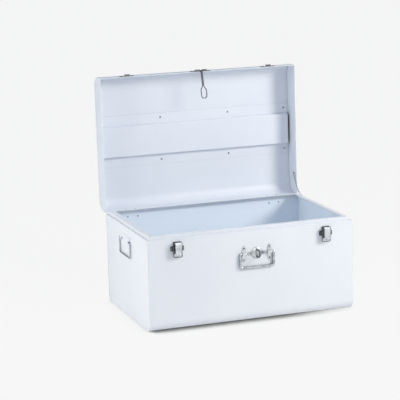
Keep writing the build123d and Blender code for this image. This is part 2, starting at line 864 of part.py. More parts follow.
def end_handle_bail(side):
    """The drop handle of one end."""
    shape = bail(
        end_bail_width,
        end_bail_drop,
        end_bail_radius,
        end_pin_radius,
        end_pin_reach,
        end_bail_corner,
    )
    return raised(end_plane(side, end_handle_y, end_handle_drop), end_axis_out) * shape


# --- lid chain ---
def chain_link():
    """An oval link lying along X in the XY plane."""
    radius = chain_link_width / 2 - chain_wire_radius
    half = chain_link_length / 2 - chain_link_width / 2
    top = Line((-half, radius), (half, radius))
    right = ThreePointArc((half, radius), (half + radius, 0), (half, -radius))
    bottom = Line((half, -radius), (-half, -radius))
    left = ThreePointArc((-half, -radius), (-half - radius, 0), (-half, radius))
    start = Plane(origin=(-half, radius, 0), z_dir=(1, 0, 0))
    return sweep(start * Circle(chain_wire_radius), path=Wire([top, right, bottom, left]))


def chain():
    """The links, each a quarter turn from the last, along a shallow arc from stud to stud."""
    x = half_length - chain_x_inset
    upper = opened(Vertex(*lid_anchor(x))).center()
    chord = Vector(*body_anchor(x)) - upper
    pitch = chain_link_length - 4 * chain_wire_radius - chain_link_play
    end_reach = chain_link_length / 2 - 2 * chain_wire_radius - chain_stud_radius - chain_link_play
    run = (chain_links - 1) * pitch + 2 * end_reach
    # a shallow arc is longer than its chord by 8/3 of its sag squared over the chord
    sag = math.sqrt(3 / 8 * chord.length * (run - chord.length))
    across = Vector(1, 0, 0).cross(chord.normalized())
    lowest = upper + chord / 2 + across * sag
    arc = ThreePointArc(upper, lowest, upper + chord)
    links = []
    for i in range(chain_links):
        along = (end_reach + i * pitch) / run
        flat_side = Vector(1, 0, 0) if i % 2 == 0 else Vector(1, 0, 0).cross(arc % along)
        links.append(Plane(origin=arc @ along, x_dir=arc % along, z_dir=flat_side) * chain_link())
    return Compound(children=links)


def chain_stud(anchor, reach, facing):
    """A headed pin for the chain's last link, through a sheet whose near face is at anchor."""
    behind = sheet + rivet_tail_height
    up = (Align.CENTER, Align.CENTER, Align.MIN)
    stud = Pos(0, 0, -behind) * Cylinder(chain_stud_radius, behind + reach, align=up)
    stud += Pos(0, 0, -behind) * Cylinder(chain_stud_head_radius, rivet_tail_height, align=up)
    head = reach - chain_stud_head
    stud += Pos(0, 0, head) * Cylinder(chain_stud_head_radius, chain_stud_head, align=up)
    return Plane(origin=anchor, x_dir=(0, 1, 0), z_dir=(facing, 0, 0)) * stud


def lid_stud():
    """The chain's stud on the lid's right end panel, shaped with the lid shut."""
    rim_face = half_length - rim_ledge
    face = half_length - end_wall
    return chain_stud(lid_anchor(face), face - rim_face - chain_stud_clearance, -1)


def body_stud():
    """The chain's stud on the upstand of the body's right rim."""
    rim_face = half_length - rim_ledge
    hem_face = half_length - end_wall - hem_sheet
    return chain_stud(body_anchor(rim_face), hem_face - rim_face - chain_stud_clearance, 1)


# --- the whole trunk ---
def body_nodes():
    """The body's sheets, its rim and what is riveted on it."""
    nodes = {
        "body_wrap": body_wrap(),
        "rim_front": rim(0, trunk_length, half_depth, sheet),
        "rim_right": rim(90, trunk_depth, half_length, end_wall),
        "rim_back": rim(180, trunk_length, half_depth, sheet),
        "rim_left": rim(270, trunk_depth, half_length, end_wall),
        "rim_rivets": rivets(rim_rivet_places()),
        "staple_plate": staple_plate(),
        "staple": staple(),
        "staple_rivets": rivets(staple_places()),
        "handle_bail": handle_bail(),
        "stay_body_stud": body_stud(),
    }
    return nodes


def lid_nodes():
    """The lid's sheets and what is riveted on it, opened."""
    shut = {
        "lid_wrap": lid_wrap(),
        "lid_channel": lid_channel(),
        "channel_rivets": rivets(channel_places()),
        "hasp_plate": hasp_plate(),
        "hasp_rivets": rivets(hasp_places()),
        "stay_lid_stud": lid_stud(),
    }
    for side, word in sides:
        shut[f"lid_{word}_end"] = lid_end(side)
        shut[f"lid_{word}_seam"] = upturned(end_seam(side, lid_height, lid_edge_radius))
        shut[f"hinge_{word}_lid_leaf"] = hinge_leaf(side, True)
        shut[f"keeper_{word}"] = keeper(side)
    shut["hinge_lid_rivets"] = rivets(both_sides(lambda side: hinge_places(side, True)))
    shut["keeper_rivets"] = rivets(both_sides(keeper_places))
    return {name: opened(shape) for name, shape in shut.items()}


def paired_nodes(side, word):
    """What the body has one of on each side."""
    return {
        f"body_{word}_end": body_end(side),
        f"body_{word}_seam": end_seam(side, wall_top, body_edge_radius),
        f"hinge_{word}_body_leaf": hinge_leaf(side, False),
        f"hinge_{word}_pin": hinge_pin(side),
        f"catch_{word}_base": catch_base(side),
        f"catch_{word}_pin": catch_pin(side),
        f"catch_{word}_lever": catch_lever(side),
        f"catch_{word}_loop": catch_loop(side),
        f"handle_{word}_plate": handle_plate(side),
        f"end_handle_{word}_plate": end_handle_plate(side),
        f"end_handle_{word}_bail": end_handle_bail(side),
    }


sides = ((-1, "left"), (1, "right"))


def both_sides(places):
    """The rivet places of the left and the right side together."""
    return [place for side, word in sides for place in places(side)]


def all_nodes():
    """Every piece of the trunk by its name, lid open."""
    nodes = body_nodes() | lid_nodes()
    for side, word in sides:
        nodes |= paired_nodes(side, word)
    nodes["hinge_body_rivets"] = rivets(both_sides(lambda side: hinge_places(side, False)))
    nodes["catch_rivets"] = rivets(both_sides(catch_places))
    nodes["handle_rivets"] = rivets(both_sides(handle_places))
    nodes["end_handle_rivets"] = rivets(both_sides(end_handle_places))
    nodes["hasp_wire"] = hasp()
    nodes["stay_chain"] = chain()
    return nodes


os.makedirs("parts", exist_ok=True)
for node, shape in all_nodes().items():
    export_step(shape, f"parts/{node}.step")
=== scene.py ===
"""A small white tin trunk with its lid open: finishes, chain, studio and camera."""

import logging
import math
from collections.abc import Callable
from dataclasses import dataclass, replace
from enum import Enum

import bpy
from mathutils import Matrix, Vector


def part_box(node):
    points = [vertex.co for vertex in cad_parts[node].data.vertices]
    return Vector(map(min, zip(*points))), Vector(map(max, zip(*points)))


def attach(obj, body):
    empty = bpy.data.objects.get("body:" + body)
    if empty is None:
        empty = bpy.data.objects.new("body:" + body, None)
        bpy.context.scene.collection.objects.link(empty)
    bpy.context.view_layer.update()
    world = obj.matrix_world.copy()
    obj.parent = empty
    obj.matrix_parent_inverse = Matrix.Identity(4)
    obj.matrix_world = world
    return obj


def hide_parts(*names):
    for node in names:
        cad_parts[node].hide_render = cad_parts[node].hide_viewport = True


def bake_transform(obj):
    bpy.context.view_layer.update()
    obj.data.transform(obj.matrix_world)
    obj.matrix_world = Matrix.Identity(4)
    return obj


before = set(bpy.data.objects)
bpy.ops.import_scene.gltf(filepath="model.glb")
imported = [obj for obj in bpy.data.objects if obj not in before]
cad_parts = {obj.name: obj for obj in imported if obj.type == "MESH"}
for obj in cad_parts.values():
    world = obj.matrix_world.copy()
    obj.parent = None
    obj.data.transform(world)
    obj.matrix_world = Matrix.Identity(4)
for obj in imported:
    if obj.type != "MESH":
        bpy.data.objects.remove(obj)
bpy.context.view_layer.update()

log = logging.getLogger("tin_trunk")

MM = 0.001
NUMBER = "NodeSocketFloat"
NORMAL = "NodeSocketVector"

Tree = bpy.types.NodeTree
Node = bpy.types.Node
Socket = bpy.types.NodeSocket
Colour = tuple[float, float, float]
Place = tuple[float, float, float]
Span = tuple[float, float]
Number = float | Socket
Shade = Colour | Socket
GroupMaker = Callable[[], Tree]


class Body(Enum):
    """The rigid bodies that new pieces ride on."""

    TRUNK = "trunk_body"
    LID = "lid"
    LEFT_LEVER = "left_lever"
    RIGHT_LEVER = "right_lever"


class Slot(Enum):
    """The record's material slots."""

    WHITE_PAINT = "white_paint"
    DARK_CHROME = "dark_chrome"
    ZINC = "zinc"


class Side(Enum):
    """Left and right as seen from the front."""

    LEFT = "left"
    RIGHT = "right"

    def lever(self) -> Body:
        """The body of this side's catch lever."""
        return Body(f"{self.value}_lever")


# ---------------------------------------------------------------- shader node groups


def feed(tree: Tree, socket: Socket, value: Number | Shade) -> None:
    """Gives a socket its value.

    Args:
        tree: the tree that both sockets are in.
        socket: the input socket to feed.
        value: a socket to link it to, a number or a colour.
    """
    if isinstance(value, bpy.types.NodeSocket):
        tree.links.new(value, socket)
    elif isinstance(value, tuple):
        socket.default_value = (*value, 1.0)
    else:
        socket.default_value = value


def add_math(tree: Tree, operation: str, first: Number, second: Number) -> Socket:
    """Adds a Math node.

    Args:
        tree: the tree that gets the node.
        operation: the Math node's operation.
        first: a socket or a number.
        second: a socket or a number.

    Returns:
        The node's output socket.
    """
    node = tree.nodes.new("ShaderNodeMath")
    node.operation = operation
    feed(tree, node.inputs[0], first)
    feed(tree, node.inputs[1], second)
    return node.outputs[0]


def add_noise(tree: Tree, place: Socket, scale: Number, octaves: float, rough: float = 0.5) -> Socket:
    """Adds a Noise texture.

    Args:
        tree: the tree that gets the node.
        place: the coordinate socket.
        scale: a socket or a number.
        octaves: how many finer layers it has.
        rough: how strong the finer layers are.

    Returns:
        The noise's value socket.
    """
    node = tree.nodes.new("ShaderNodeTexNoise")
    feed(tree, node.inputs["Vector"], place)
    feed(tree, node.inputs["Scale"], scale)
    feed(tree, node.inputs["Detail"], octaves)
    feed(tree, node.inputs["Roughness"], rough)
    return node.outputs["Fac"]


def add_range(tree: Tree, value: Socket, span: Span, result: Span) -> Socket:
    """Adds a clamped Map Range node, smooth between its ends.

    Args:
        tree: the tree that gets the node.
        value: the socket to map.
        span: where the ramp starts and ends.
        result: the results at and before its start, and at and after its end.

    Returns:
        The node's output socket.
    """
    node = tree.nodes.new("ShaderNodeMapRange")
    node.interpolation_type = "SMOOTHSTEP"
    feed(tree, node.inputs["Value"], value)
    for name, number in zip(("From Min", "From Max", "To Min", "To Max"), (*span, *result)):
        feed(tree, node.inputs[name], number)
    return node.outputs["Result"]


def mix_colours(tree: Tree, amount: Socket, first: Shade, second: Shade) -> Socket:
    """Adds a colour mix.

    Args:
        tree: the tree that gets the node.
        amount: how much of the second colour shows.
        first: the colour at 0, or its socket.
        second: the colour at 1, or its socket.

    Returns:
        The mixed colour's socket.
    """
    node = tree.nodes.new("ShaderNodeMix")
    node.data_type = "RGBA"
    feed(tree, node.inputs["Factor"], amount)
    # the Mix node has its colour sockets after those of its other types
    first_colour, second_colour = node.inputs[6:8]
    feed(tree, first_colour, first)
    feed(tree, second_colour, second)
    return node.outputs[2]


def mix_shaders(tree: Tree, amount: Socket, first: Socket, second: Socket) -> Socket:
    """Adds a shader mix.

    Args:
        tree: the tree that gets the node.
        amount: how much of the second shader shows.
        first: the shader at 0.
        second: the shader at 1.

    Returns:
        The mixed shader's socket.
    """
    node = tree.nodes.new("ShaderNodeMixShader")
    for socket, source in zip(node.inputs, (amount, first, second)):
        tree.links.new(source, socket)
    return node.outputs["Shader"]


def add_background(tree: Tree, colour: Shade, strength: float = 1.0) -> Socket:
    """Adds a world background of one colour.

    Args:
        tree: the world's node tree.
        colour: its colour, or its socket.
        strength: how strongly it shines.

    Returns:
        The background's shader socket.
    """
    node = tree.nodes.new("ShaderNodeBackground")
    feed(tree, node.inputs["Color"], colour)
    feed(tree, node.inputs["Strength"], strength)
    return node.outputs["Background"]


def object_place(tree: Tree) -> Socket:
    """Adds Object coordinates, which are metres from the trunk's origin."""
    return tree.nodes.new("ShaderNodeTexCoord").outputs["Object"]


def split_place(tree: Tree, place: Socket) -> tuple[Socket, Socket, Socket]:
    """Splits a place into its three coordinates.

    Args:
        tree: the tree that gets the node.
        place: the coordinate socket.

    Returns:
        The sockets of X, Y and Z.
    """
    node = tree.nodes.new("ShaderNodeSeparateXYZ")
    tree.links.new(place, node.inputs["Vector"])
    return tuple(node.outputs[:3])


def new_group(name: str, inputs: dict[str, float], outputs: dict[str, str]) -> tuple[Tree, Node, Node]:
    """Makes an empty node group.

    Args:
        name: the group's name.
        inputs: its inputs, which are numbers, with their defaults.
        outputs: its outputs with their socket types.

    Returns:
        The group, its input node and its output node.
    """
    group = bpy.data.node_groups.new(name, "ShaderNodeTree")
    for title, value in inputs.items():
        socket = group.interface.new_socket(name=title, in_out="INPUT", socket_type=NUMBER)
        socket.default_value = value
    for title, kind in outputs.items():
        group.interface.new_socket(name=title, in_out="OUTPUT", socket_type=kind)
    return group, group.nodes.new("NodeGroupInput"), group.nodes.new("NodeGroupOutput")


def powder_group() -> Tree:
    """The orange-peel grain, faint cloudiness and handling marks of a sprayed coat.

    Returns:
        The node group.
    """
    octaves = 2.0
    peel_share = 0.03
    cloud_span = (0.3, 0.7)
    smear_size = 34.0
    smear_octaves = 5.0
    smear_rough = 0.62
    smear_span = (0.5, 0.72)
    outputs = dict.fromkeys(("Height", "Cloud", "Handling"), NUMBER)
    group, inlet, outlet = new_group("sprayed coat", {"Peel Size": 700.0, "Cloud Size": 9.0}, outputs)
    place = object_place(group)
    peel = add_noise(group, place, inlet.outputs["Peel Size"], octaves)
    cloud = add_noise(group, place, inlet.outputs["Cloud Size"], octaves)
    fine = add_math(group, "MULTIPLY", peel, peel_share)
    broad = add_math(group, "MULTIPLY", cloud, 1.0 - peel_share)
    smear = add_noise(group, place, smear_size, smear_octaves, smear_rough)
    group.links.new(add_math(group, "ADD", fine, broad), outlet.inputs["Height"])
    group.links.new(add_range(group, cloud, cloud_span, (0.0, 1.0)), outlet.inputs["Cloud"])
    group.links.new(add_range(group, smear, smear_span, (0.0, 1.0)), outlet.inputs["Handling"])
    return group


def hollow_group() -> Tree:
    """A mask that is 1 inside a folded sheet: a box along X, round at its two long bottom edges, where
    painted light or painted shade goes.

    Returns:
        The node group, whose box may lean about X.
    """
    softness = 0.2 * MM
    names = ("Left", "Right", "Near", "Far", "Bottom", "Top", "Bend", "Lean")
    group, inlet, outlet = new_group("hollow", dict.fromkeys(names, 0.0), {"Inside": NUMBER})
    left, right, near, far, bottom, top, bend, lean = inlet.outputs[: len(names)]
    turn = group.nodes.new("ShaderNodeVectorRotate")
    turn.rotation_type = "X_AXIS"
    group.links.new(object_place(group), turn.inputs["Vector"])
    group.links.new(lean, turn.inputs["Angle"])
    x, y, z = split_place(group, turn.outputs["Vector"])

    def inward(low: Socket, value: Socket, high: Socket) -> Socket:
        """How far a value is inside its two limits."""
        past_low = add_math(group, "SUBTRACT", value, low)
        return add_math(group, "MINIMUM", past_low, add_math(group, "SUBTRACT", high, value))

    def short_of_bend(depth: Socket) -> Socket:
        """How much nearer to a wall than the bend's radius a place is, squared."""
        short = add_math(group, "MAXIMUM", add_math(group, "SUBTRACT", bend, depth), 0.0)
        return add_math(group, "MULTIPLY", short, short)

    above = add_math(group, "SUBTRACT", z, bottom)
    squares = add_math(group, "ADD", short_of_bend(inward(near, y, far)), short_of_bend(above))
    depth = add_math(group, "SUBTRACT", bend, add_math(group, "SQRT", squares, 0.0))
    depth = add_math(group, "MINIMUM", depth, inward(left, x, right))
    depth = add_math(group, "MINIMUM", depth, add_math(group, "SUBTRACT", top, z))
    group.links.new(add_range(group, depth, (0.0, softness), (0.0, 1.0)), outlet.inputs["Inside"])
    return group


def plating_group() -> Tree:
    """The dull patches, polishing lines and rounded edges of plated steel, with a mask of the edges
    for painted shade.

    Returns:
        The node group.
    """
    patch_octaves = 4.0
    patch_rough = 0.6
    patch_span = (0.42, 0.68)
    line_stretch = (1.0, 1.0, 14.0)
    line_size = 420.0
    line_octaves = 3.0
    line_rough = 0.7
    line_span = (0.35, 0.75)
    gloss = (0.12, 0.34)
    edge_span = (0.86, 0.99)
    edge_samples = 6
    outputs = dict.fromkeys(("Edge", "Tarnish", "Height", "Roughness"), NUMBER) | {"Rounded": NORMAL}
    inputs = {"Patch Size": 90.0, "Edge Radius": 1.0 * MM}
    group, inlet, outlet = new_group("plated steel", inputs, outputs)
    place = object_place(group)
    patch = add_noise(group, place, inlet.outputs["Patch Size"], patch_octaves, patch_rough)
    stretch = group.nodes.new("ShaderNodeMapping")
    stretch.inputs["Scale"].default_value = line_stretch
    group.links.new(place, stretch.inputs["Vector"])
    lines = add_noise(group, stretch.outputs["Vector"], line_size, line_octaves, line_rough)
    rounded = group.nodes.new("ShaderNodeBevel")
    rounded.samples = edge_samples
    group.links.new(inlet.outputs["Edge Radius"], rounded.inputs["Radius"])
    facing = group.nodes.new("ShaderNodeVectorMath")
    facing.operation = "DOT_PRODUCT"
    group.links.new(rounded.outputs["Normal"], facing.inputs[0])
    group.links.new(group.nodes.new("ShaderNodeNewGeometry").outputs["Normal"], facing.inputs[1])
    edge = add_range(group, facing.outputs["Value"], edge_span, (1.0, 0.0))
    group.links.new(edge, outlet.inputs["Edge"])
    group.links.new(add_range(group, patch, patch_span, (0.0, 1.0)), outlet.inputs["Tarnish"])
    group.links.new(lines, outlet.inputs["Height"])
    group.links.new(add_range(group, lines, line_span, gloss), outlet.inputs["Roughness"])
    group.links.new(rounded.outputs["Normal"], outlet.inputs["Rounded"])
    return group


SHARED_GROUPS: dict[str, Tree] = {}


def place_group(tree: Tree, maker: GroupMaker, values: dict[str, float]) -> Node:
    """Places a shared node group in a material, and makes the group at its first use.

    Args:
        tree: the material's node tree.
        maker: the function that makes the group.
        values: the group's inputs in this material.

    Returns:
        The group node.
    """
    if maker.__name__ not in SHARED_GROUPS:
        SHARED_GROUPS[maker.__name__] = maker()
    node = tree.nodes.new("ShaderNodeGroup")
    node.node_tree = SHARED_GROUPS[maker.__name__]
    for name, value in values.items():
        node.inputs[name].default_value = value
    return node


def new_material(name: str) -> tuple[bpy.types.Material, Tree, Node]:
    """Makes a material with nodes.

    Args:
        name: the material's name.

    Returns:
        The material, its node tree and its Principled node.
    """
    material = bpy.data.materials.new(name)
    material.use_nodes = True
    return material, material.node_tree, material.node_tree.nodes["Principled BSDF"]


def paint_recess_shade(tree: Tree, colour: Socket, dark: Colour, reach: float, fade: Span) -> Socket:
    """Paints shade into a colour where the surface is shut in, as in laps, folds and corners.

    Args:
        tree: the tree that gets the nodes.
        colour: the open surface's colour.
        dark: the painted shade's colour deep in a recess.
        reach: how near a surface has to be to shut in another, in metres.
        fade: the openness at which the dark is full, and at which it ends.

    Returns:
        The colour's socket.
    """
    # painted shade: ambient occlusion darkens the colour where the surface is shut in
    recess = tree.nodes.new("ShaderNodeAmbientOcclusion")
    recess.inputs["Distance"].default_value = reach
    unshaded = add_range(tree, recess.outputs["AO"], fade, (0.0, 1.0))
    return mix_colours(tree, unshaded, dark, colour)


def add_bump(tree: Tree, shader: Node, height: Socket, strength: float, depth: float) -> Node:
    """Gives a shader relief.

    Args:
        tree: the material's node tree.
        shader: its Principled node.
        height: the relief's height.
        strength: how much of it shows.
        depth: how deep the whole height is, in metres.

    Returns:
        The Bump node.
    """
    bump = tree.nodes.new("ShaderNodeBump")
    bump.inputs["Strength"].default_value = strength
    bump.inputs["Distance"].default_value = depth
    tree.links.new(height, bump.inputs["Height"])
    tree.links.new(bump.outputs["Normal"], shader.inputs["Normal"])
    return bump


# ---------------------------------------------------------------- finishes


@dataclass(frozen=True)
class Hollow:
    """A box inside folded sheets, round at its long bottom edges, whose inside gets a colour of
    painted light or painted shade.
    """

    colour: Colour
    left: float
    right: float
    near: float
    far: float
    bottom: float
    top: float
    bend: float = 0.5 * MM
    lean: float = 0.0

    def mask(self, tree: Tree) -> Socket:
        """Places the mask of the inside.

        Args:
            tree: the material's node tree.

        Returns:
            The mask's socket.
        """
        values = {
            "Left": self.left,
            "Right": self.right,
            "Near": self.near,
            "Far": self.far,
            "Bottom": self.bottom,
            "Top": self.top,
            "Bend": self.bend,
            "Lean": self.lean,
        }
        return place_group(tree, hollow_group, values).outputs["Inside"]


@dataclass(frozen=True)
class PowderCoat:
    """Semi-gloss sprayed paint on sheet steel, with painted shade in its creases, and painted light or
    shade inside its hollow box if it has one.
    """

    name: str
    slot: Slot
    colour: Colour
    clouded: Colour
    roughness: float = 0.38
    rubbed_roughness: float = 0.50
    peel_size: float = 700.0
    relief: float = 0.12
    relief_depth: float = 2.0 * MM
    # this colour, with its reach and fade, is painted shade in laps, folds and corners
    crease_shade: Colour = (0.40, 0.48, 0.66)
    crease_reach: float = 3.2 * MM
    crease_fade: Span = (0.3, 0.85)
    hollow: Hollow | None = None

    def material(self) -> bpy.types.Material:
        """Builds the paint.

        Returns:
            The material.
        """
        material, tree, shader = new_material(self.name)
        coat = place_group(tree, powder_group, {"Peel Size": self.peel_size})
        colour = mix_colours(tree, coat.outputs["Cloud"], self.colour, self.clouded)
        # painted shade darkens the coat in laps, folds and corners
        colour = paint_recess_shade(tree, colour, self.crease_shade, self.crease_reach, self.crease_fade)
        # inside the hollow box the coat takes a colour of painted light or painted shade
        if self.hollow:
            colour = mix_colours(tree, self.hollow.mask(tree), colour, self.hollow.colour)
        tree.links.new(colour, shader.inputs["Base Color"])
        rubbed = (self.roughness, self.rubbed_roughness)
        rough = add_range(tree, coat.outputs["Handling"], (0.0, 1.0), rubbed)
        tree.links.new(rough, shader.inputs["Roughness"])
        add_bump(tree, shader, coat.outputs["Height"], self.relief, self.relief_depth)
        return material


@dataclass(frozen=True)
class PlatedSteel:
    """Bright or dull plating on steel wire and pressings, with painted shade in recesses and along
    rounded edges.
    """

    name: str
    slot: Slot
    colour: Colour
    tarnished: Colour
    patch_size: float = 90.0
    relief: float = 0.12
    relief_depth: float = 0.4 * MM
    # this colour is painted shade in recesses and along rounded edges
    painted_shade: Colour = (0.03, 0.032, 0.036)
    recess_reach: float = 3.0 * MM
    recess_fade: Span = (0.25, 0.75)
    edge_radius: float = 1.0 * MM
    edge_shade: float = 0.75

    def material(self) -> bpy.types.Material:
        """Builds the plating.

        Returns:
            The material.
        """
        material, tree, shader = new_material(self.name)
        values = {"Patch Size": self.patch_size, "Edge Radius": self.edge_radius}
        plate = place_group(tree, plating_group, values)
        colour = mix_colours(tree, plate.outputs["Tarnish"], self.colour, self.tarnished)
        # painted shade in recesses, then along the rounded edges
        colour = paint_recess_shade(tree, colour, self.painted_shade, self.recess_reach, self.recess_fade)
        shaded_edge = add_math(tree, "MULTIPLY", plate.outputs["Edge"], self.edge_shade)
        tree.links.new(mix_colours(tree, shaded_edge, colour, self.painted_shade), shader.inputs["Base Color"])
        tree.links.new(plate.outputs["Roughness"], shader.inputs["Roughness"])
        shader.inputs["Metallic"].default_value = 1.0
        bump = add_bump(tree, shader, plate.outputs["Height"], self.relief, self.relief_depth)
        tree.links.new(plate.outputs["Rounded"], bump.inputs["Normal"])
        return material


# inside the body the coat is painted whiter and a little bluer than outside: painted light for the
# blue light that bounces inside
BODY_INSIDE_LIGHT = Hollow(
    colour=(0.83, 0.895, 0.98),
    left=-298.6 * MM,
    right=298.6 * MM,
    near=-193.6 * MM,
    far=193.6 * MM,
    bottom=0.5 * MM,
    top=249.0 * MM,
    bend=25.5 * MM,
)
# behind the lid's channel the sheet is coloured near black: painted shade for the dark slot at the
# channel's ends
CHANNEL_SHADE = Hollow(
    colour=(0.008, 0.011, 0.018),
    left=-297.9 * MM,
    right=297.9 * MM,
    near=233.0 * MM,
    far=252.1 * MM,
    bottom=411.2 * MM,
    top=499.8 * MM,
    lean=math.radians(1.3),
)
BODY_PAINT = PowderCoat(
    "white sheet paint",
    Slot.WHITE_PAINT,
    colour=(0.80, 0.82, 0.865),
    clouded=(0.785, 0.805, 0.855),
    hollow=BODY_INSIDE_LIGHT,
)
SEAM_PAINT = replace(BODY_PAINT, name="white seam paint", crease_shade=(0.70, 0.73, 0.78))
# the lid's sheets and channel take a darker, bluer copy of the body's white, which is painted shade on
# the lid
CHANNEL_PAINT = PowderCoat(
    "white lid paint",
    Slot.WHITE_PAINT,
    colour=(0.765, 0.797, 0.862),
    clouded=(0.75, 0.782, 0.852),
)
LID_PAINT = replace(
    CHANNEL_PAINT,
    name="white lid paint with painted shade behind its channel",
    crease_shade=(0.20, 0.26, 0.40),
    hollow=CHANNEL_SHADE,
)
FITTING_PAINT = PowderCoat(
    "white fitting paint",
    Slot.WHITE_PAINT,
    colour=(0.80, 0.83, 0.88),
    clouded=(0.77, 0.80, 0.86),
    peel_size=1100.0,
    relief=0.35,
)
BRIGHT_PLATING = PlatedSteel(
    "bright plating",
    Slot.DARK_CHROME,
    colour=(0.73, 0.765, 0.80),
    tarnished=(0.52, 0.55, 0.58),
    patch_size=45.0,
)
DARK_PLATING = PlatedSteel(
    "dark plating",
    Slot.DARK_CHROME,
    colour=(0.20, 0.21, 0.225),
    tarnished=(0.09, 0.095, 0.105),
)
WIRE_PLATING = PlatedSteel(
    "wire plating",
    Slot.DARK_CHROME,
    colour=(0.22, 0.23, 0.25),
    tarnished=(0.11, 0.12, 0.14),
    patch_size=140.0,
)
BAIL_PLATING = PlatedSteel(
    "bail plating",
    Slot.DARK_CHROME,
    colour=(0.60, 0.63, 0.66),
    tarnished=(0.33, 0.35, 0.38),
    patch_size=120.0,
)
DULL_ZINC = PlatedSteel(
    "dull zinc",
    Slot.ZINC,
    colour=(0.56, 0.58, 0.61),
    tarnished=(0.40, 0.42, 0.45),
    patch_size=60.0,
    relief=0.2,
)

MATERIALS: dict[str, bpy.types.Material] = {}

Finish = PowderCoat | PlatedSteel


def dress(piece: bpy.types.Object, finish: Finish) -> None:
    """Gives a piece its finish, and nothing else.

    Args:
        piece: the object to dress.
        finish: its finish, which is built at its first use.
    """
    if finish.name not in MATERIALS:
        MATERIALS[finish.name] = finish.material()
    piece.data.materials.clear()
    piece.data.materials.append(MATERIALS[finish.name])


# ---------------------------------------------------------------- modelling helpers

MERGE_DISTANCE = 0.002 * MM
FLAT_ANGLE = math.radians(0.5)
EDGE_ANGLE = math.radians(40)
SMOOTH_ANGLE = math.radians(35)
EDGE_SEGMENTS = 2


def deselect() -> None:
    """Leaves edit mode and deselects everything."""
    if bpy.context.object and bpy.context.object.mode != "OBJECT":
        bpy.ops.object.mode_set(mode="OBJECT")
    bpy.ops.object.select_all(action="DESELECT")


def take(piece: bpy.types.Object) -> None:
    """Makes one object the only selected one, and the active one.

    Args:
        piece: the object to take.
    """
    deselect()
    piece.select_set(True)
    bpy.context.view_layer.objects.active = piece


def centre_of(node: str) -> Vector:
    """The middle of a CAD node's box at rest."""
    low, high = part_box(node)
    return (Vector(low) + Vector(high)) / 2


def carry(node: str, finish: Finish) -> None:
    """Keeps a CAD node as it is and dresses it."""
    dress(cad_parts[node], finish)
    log.info("kept %s in %s", node, finish.name)


def ease(node: str, body: Body, finish: Finish, radius: float) -> None:
    """Makes a copy of a pressing whose cut edges are rounded, to stand for the CAD node.

    Args:
        node: the CAD node.
        body: the body that the piece rides on.
        finish: the piece's finish.
        radius: how far in each edge is rounded, in metres.
    """
    piece = bpy.data.objects.new(f"{node}_eased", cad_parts[node].data.copy())
    bpy.context.scene.collection.objects.link(piece)
    take(piece)
    bpy.ops.mesh.customdata_custom_splitnormals_clear()
    bpy.ops.object.mode_set(mode="EDIT")
    bpy.ops.mesh.select_all(action="SELECT")
    bpy.ops.mesh.remove_doubles(threshold=MERGE_DISTANCE)
    bpy.ops.mesh.dissolve_limited(angle_limit=FLAT_ANGLE)
    bpy.ops.object.mode_set(mode="OBJECT")
    bevel = piece.modifiers.new("eased edges", "BEVEL")
    bevel.width = radius
    bevel.segments = EDGE_SEGMENTS
    bevel.limit_method = "ANGLE"
    bevel.angle_limit = EDGE_ANGLE
    bevel.use_clamp_overlap = True
    bpy.ops.object.modifier_apply(modifier=bevel.name)
    bpy.ops.object.shade_smooth_by_angle(angle=SMOOTH_ANGLE)
    flats = piece.modifiers.new("true flats", "WEIGHTED_NORMAL")
    flats.keep_sharp = True
    bpy.ops.object.modifier_apply(modifier=flats.name)
    dress(piece, finish)
    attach(piece, body.value)
    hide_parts(node)
    log.info("eased %s on %s in %s", node, body.value, finish.name)


# ---------------------------------------------------------------- sub-assemblies


@dataclass
class TrunkBody:
    """The sheets of the body and the folded rim inside its mouth."""

    sheets: tuple[str, ...] = ("body_wrap", "rim_front", "rim_right")
    ends: tuple[str, ...] = ("body_left_end", "body_right_end")
    seams: tuple[str, ...] = ("body_left_seam", "body_right_seam", "rim_left", "rim_back")
    sheet_edge: float = 0.3 * MM

    def build(self) -> None:
        """Rounds the sheets' edges and paints them."""
        for node in self.sheets:
            ease(node, Body.TRUNK, BODY_PAINT, self.sheet_edge)
        for node in self.ends + self.seams:
            ease(node, Body.TRUNK, SEAM_PAINT, self.sheet_edge)
        carry("rim_rivets", FITTING_PAINT)


@dataclass
class Lid:
    """The lid's sheets and the channel that stiffens it."""

    shell: tuple[str, ...] = ("lid_wrap", "lid_left_end", "lid_right_end")
    seams: tuple[str, ...] = ("lid_left_seam", "lid_right_seam")
    sheet_edge: float = 0.3 * MM

    def build(self) -> None:
        """Rounds the sheets' edges and paints them."""
        for node in self.shell:
            ease(node, Body.LID, LID_PAINT, self.sheet_edge)
        for node in self.seams:
            ease(node, Body.LID, SEAM_PAINT, self.sheet_edge)
        ease("lid_channel", Body.LID, CHANNEL_PAINT, self.sheet_edge)
        carry("channel_rivets", WIRE_PLATING)


@dataclass
class Hinge:
    """One back hinge: two leaves and a pin."""

    side: Side
    leaf_edge: float = 0.25 * MM

    def build(self) -> None:
        """Rounds the leaves' edges and dresses the pin."""
        name = f"hinge_{self.side.value}"
        ease(f"{name}_body_leaf", Body.TRUNK, DULL_ZINC, self.leaf_edge)
        ease(f"{name}_lid_leaf", Body.LID, DULL_ZINC, self.leaf_edge)
        carry(f"{name}_pin", DULL_ZINC)


@dataclass
class DrawCatch:
    """One draw catch with its keeper on the lid."""

    side: Side
    plate_edge: float = 0.25 * MM
    lever_edge: float = 0.2 * MM

    def build(self) -> None:
        """Rounds the pressings' edges and dresses the wire."""
        name = f"catch_{self.side.value}"
        ease(f"{name}_base", Body.TRUNK, DARK_PLATING, self.plate_edge)
        ease(f"{name}_lever", self.side.lever(), BRIGHT_PLATING, self.lever_edge)
        ease(f"keeper_{self.side.value}", Body.LID, DARK_PLATING, self.plate_edge)
        carry(f"{name}_pin", DARK_PLATING)
        carry(f"{name}_loop", WIRE_PLATING)


